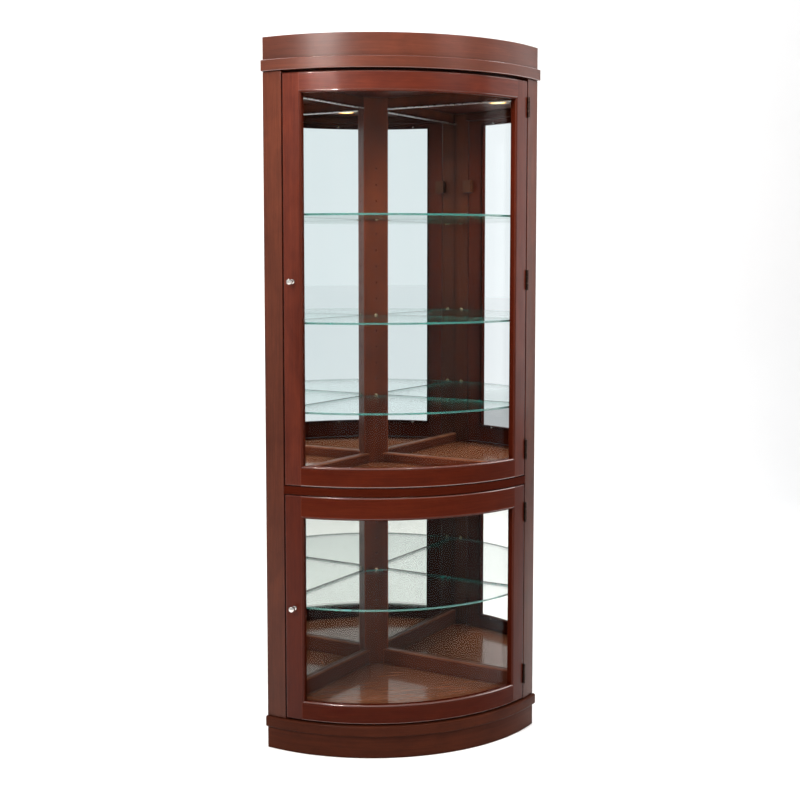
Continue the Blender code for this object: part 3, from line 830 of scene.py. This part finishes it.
def make_clips(node, materials):
    """One clip on the corner post and one behind each stile."""
    low = span(node)[0]
    front_y = CENTRE_Y - POST_FACE - GAP
    place = Matrix.Translation((0.0, front_y, low)) @ Matrix.Rotation(math.pi, 4, "Z")
    finish_piece(f"{node}_post_clip", clip_mesh(place), materials["brass"], "root",
                 [f"{node}_clip"])
    for word, side in (("left", -1), ("right", 1)):
        x, y = by_wall(side, FRONT_RADIUS - STILE_DEPTH - GAP, -CLIP_INSET)
        turn = Matrix.Rotation(side * QUARTER, 4, "Z")
        mesh = clip_mesh(Matrix.Translation((x, y, low)) @ turn)
        finish_piece(f"{node}_{word}_clip", mesh, materials["brass"], "root")


# ---- Doors ----

def make_door_boards(word, materials):
    """The four boards of a curved door frame. Their outer edges are rounded over."""
    body = f"{word}_door"
    foot = span(f"{word}_door_bottom_rail")[0]
    head = span(f"{word}_door_top_rail")[1]
    low = span(f"{word}_door_bottom_rail")[1] - BEAD
    high = span(f"{word}_door_top_rail")[0] + BEAD
    inner = FRONT_RADIUS - DOOR_THICKNESS
    sight = GLASS_HALF_ANGLE + BEAD / FRONT_RADIUS
    joint = BOARD_JOINT / FRONT_RADIUS
    # The lower door and every door's bottom rail get the darker low wood: a painted shade.
    upright, arch = ("upright", "arc") if word == "upper" else ("low_upright", "low_arc")
    boards = [("knob_stile", -DOOR_HALF_ANGLE, -sight - joint, foot, head, upright),
              ("hinge_stile", sight + joint, DOOR_HALF_ANGLE, foot, head, upright),
              ("bottom_rail", -sight, sight, foot, low, "low_arc"),
              ("top_rail", -sight, sight, high, head, arch)]
    for name, start, stop, bottom, top, wood in boards:
        mesh = prism(arc(FRONT_RADIUS, start, stop) + arc(inner, stop, start), bottom, top)

        def outer_edge(line):
            a, b = (vert.co for vert in line.verts)
            if min(math.hypot(p.x, p.y - CENTRE_Y) for p in (a, b)) < FRONT_RADIUS - 0.002:
                return False
            if abs(a.z - b.z) < 1e-6:
                return abs(a.z - foot) < 1e-5 or abs(a.z - head) < 1e-5
            return abs(abs(math.atan2(a.x, CENTRE_Y - a.y)) - DOOR_HALF_ANGLE) < 1e-4

        soften(mesh, DOOR_ROUND, segments=5, only=outer_edge, slot=1)
        edge = materials["edge_upright" if wood.endswith("upright") else "edge"]
        finish_piece(f"{word}_door_{name}_board", mesh, materials[wood], body,
                     [f"{word}_door_{name}"], [edge])


def sight_loop(sight, low, high, inward, radius):
    """A rectangle on the curved door, moved inward from the outer outline of its bead."""
    reach = sight - inward / FRONT_RADIUS
    bottom = low + inward
    top = high - inward
    steps = 72
    across = [polar(-reach + 2 * reach * i / steps, radius) for i in range(steps + 1)]
    return [(x, y, bottom) for x, y in across] + [(x, y, top) for x, y in across[::-1]]


def bead_profile():
    """The bead's section as (inward, radius): a fine quirk, a quarter round, and the reveal behind it."""
    front, back = FRONT_RADIUS, FRONT_RADIUS - DOOR_THICKNESS
    edge = 0.0001
    profile = [(edge, back), (edge, front - 0.0009), (0.0009, front - 0.0009), (0.0012, front - 0.0002)]
    steps = 8
    for i in range(steps + 1):
        turn = math.pi / 2 * i / steps
        profile.append((BEAD - BEAD_ROUND + BEAD_ROUND * math.sin(turn),
                        front - BEAD_ROUND + BEAD_ROUND * math.cos(turn)))
    return profile + [(BEAD, front - 0.0120), (BEAD - 0.0006, front - 0.0124), (BEAD - 0.0006, back)]


def make_sight_bead(word, materials):
    """The moulded edge round the glass, in darkened wood, a painted shade. Its upper faces get the
    glossier edge wood, whose lighter colour is a painted highlight, and its reveal gets the darkest wood,
    a painted shade.
    """
    low = span(f"{word}_door_bottom_rail")[1] - BEAD
    high = span(f"{word}_door_top_rail")[0] + BEAD
    sight = GLASS_HALF_ANGLE + BEAD / FRONT_RADIUS
    mesh = loop_solid([sight_loop(sight, low, high, inward, radius) for inward, radius in bead_profile()])
    for face in mesh.faces:
        middle = face.calc_center_median()
        if math.hypot(middle.x, middle.y - CENTRE_Y) < FRONT_RADIUS - BEAD_ROUND:
            face.material_index = 2
        elif face.normal.z > 0.15:
            face.material_index = 1
    extra = [materials["edge"], materials["mid"]]
    finish_piece(f"{word}_door_sight_bead", mesh, materials["bead"], f"{word}_door", (), extra)


def make_pane(word, materials):
    """The curved pane, behind the door frame."""
    node = f"{word}_door_glass"
    low, high = span(node)
    outer = FRONT_RADIUS - DOOR_THICKNESS - PANE_GAP
    reach = GLASS_HALF_ANGLE + PANE_OVERLAP / outer
    mesh = prism(arc(outer, -reach, reach) + arc(outer - PANE_THICKNESS, reach, -reach), low, high)
    soften(mesh, ARRIS, segments=2)
    finish_piece(f"{node}_pane", mesh, materials["pane"], f"{word}_door", [node])


def make_retainers(word, materials):
    """Small turn buttons behind the top and bottom rails that hold the pane."""
    low, high = span(f"{word}_door_glass")
    inner = FRONT_RADIUS - DOOR_THICKNESS - PANE_GAP - PANE_THICKNESS
    mesh = bmesh.new()
    button = [(0.0, 0.0), (0.0037, 0.0), (0.0038, 0.0009), (0.0031, 0.0016),
              (0.0013, 0.0018), (0.0, 0.0016)]
    for z in (low + BUTTON_MARGIN, high - BUTTON_MARGIN):
        for step in (-2, -1, 0, 1, 2):
            angle = GLASS_HALF_ANGLE * BUTTON_SHARE * step
            x, y = polar(angle, inner - 0.0002)
            inward = Vector((-math.sin(angle), math.cos(angle), 0.0))
            turn = inward.to_track_quat("Z", "X").to_matrix().to_4x4()
            add_turned(mesh, button, Matrix.Translation((x, y, z)) @ turn, 20)
    finish_piece(f"{word}_door_retainers", mesh, materials["nickel"], f"{word}_door")


def make_knob(word, materials):
    """A turned mushroom knob with a small collar."""
    node = f"{word}_door_knob"
    low, high = span(node)
    profile = [(0.0, 0.0), (0.0062, 0.0), (0.0065, 0.0004), (0.0065, 0.0012), (0.0058, 0.0018),
               (0.0042, 0.0030), (0.0034, 0.0048), (0.0031, 0.0075), (0.0034, 0.0108),
               (0.0044, 0.0134), (0.0062, 0.0152),
               (0.0078, 0.0166), (0.0084, 0.0178), (0.0085, 0.0190), (0.0082, 0.0202), (0.0073, 0.0215),
               (0.0058, 0.0226), (0.0036, 0.0235), (0.0016, 0.0239), (0.0, 0.0240)]
    mesh = turned(profile, 48)
    x, y = polar(KNOB_ANGLE, FRONT_RADIUS + GAP)
    outward = Vector((math.sin(KNOB_ANGLE), -math.cos(KNOB_ANGLE), 0.0))
    turn = outward.to_track_quat("Z", "Y").to_matrix().to_4x4()
    place = Matrix.Translation((x, y, (low + high) / 2)) @ turn
    bmesh.ops.transform(mesh, matrix=place, verts=mesh.verts)
    finish_piece(f"{word}_knob", mesh, materials["nickel"], f"{word}_door", [node])


# ---- Hinges ----

def hinge_place(low):
    """X runs from the door towards the stile, Y outward, from the barrel's axis."""
    x, y = polar(HINGE_ANGLE, HINGE_RADIUS)
    axes = Matrix(((math.cos(HINGE_ANGLE), math.sin(HINGE_ANGLE), 0.0, 0.0),
                   (math.sin(HINGE_ANGLE), -math.cos(HINGE_ANGLE), 0.0, 0.0),
                   (0.0, 0.0, 1.0, 0.0), (0.0, 0.0, 0.0, 1.0)))
    return Matrix.Translation((x, y, low)) @ axes


def make_leaf(node, side, knuckles, body, materials):
    """A hinge leaf with its knuckles. side is 1 for the case leaf and -1 for the door leaf."""
    low, high = span(node)
    place = hinge_place(low)
    mesh = bmesh.new()
    near, far = sorted((side * GAP / 2, side * (GAP / 2 + LEAF_THICKNESS)))
    front = -BARREL_PROUD - GAP
    add_box(mesh, place, (near, front - LEAF_DEPTH, 0.0), (far, front, high - low))
    third = (high - low) / 3.0
    for i in knuckles:
        bottom = third * i + GAP / 2
        top = third * (i + 1) - GAP / 2
        add_box(mesh, place, (near + 0.0001, front - 0.001, bottom), (far - 0.0001, -0.0024, top))
        neck = BARREL_RADIUS - HINGE_ROUND
        profile = [(0.0, bottom), (neck, bottom), (BARREL_RADIUS, bottom + HINGE_ROUND),
                   (BARREL_RADIUS, top - HINGE_ROUND), (neck, top), (0.0, top)]
        add_turned(mesh, profile, place, 28)
    bmesh.ops.recalc_face_normals(mesh, faces=mesh.faces)
    finish_piece(f"{node}_metal", mesh, materials["bronze"], body, [node])


def make_hinges(word, materials):
    for number in HINGES[word]:
        make_leaf(f"{word}_hinge_{number}_case_leaf", 1, (0, 2), "root", materials)
        make_leaf(f"{word}_hinge_{number}_door_leaf", -1, (1,), f"{word}_door", materials)


# ---- CAD nodes that stay ----

def dress_cad(materials):
    """Gives each CAD node that is shown a finished material."""
    dress = {"lower_deck": "deck", "mid_deck": "deck", "ceiling_panel": "ceiling", "head_rail": "ceiling",
             "corner_post": "post", "top_panel": "board",
             "lamp_canister": "brass", "lamp_lens": "lamp"}
    for level in LEVELS:
        dress[f"catch_{level}"] = "plastic"
        dress[f"strike_{level}"] = "plastic"
        for word in ("left", "right"):
            dress[f"mirror_{level}_{word}"] = f"mirror_{level}"
    for node, key in dress.items():
        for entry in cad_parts[node].material_slots:
            entry.material = materials[key]


def main():
    make_camera()
    make_world()
    make_lights()
    make_floor()
    materials = make_materials()
    make_case(materials)
    for node in SHELVES:
        make_shelf(node, materials)
        make_clips(node, materials)
    for word in LEVELS:
        make_door_boards(word, materials)
        make_sight_bead(word, materials)
        make_pane(word, materials)
        make_retainers(word, materials)
        make_knob(word, materials)
        make_hinges(word, materials)
    dress_cad(materials)


main()
bpy.context.scene.view_settings.view_transform = "Standard"
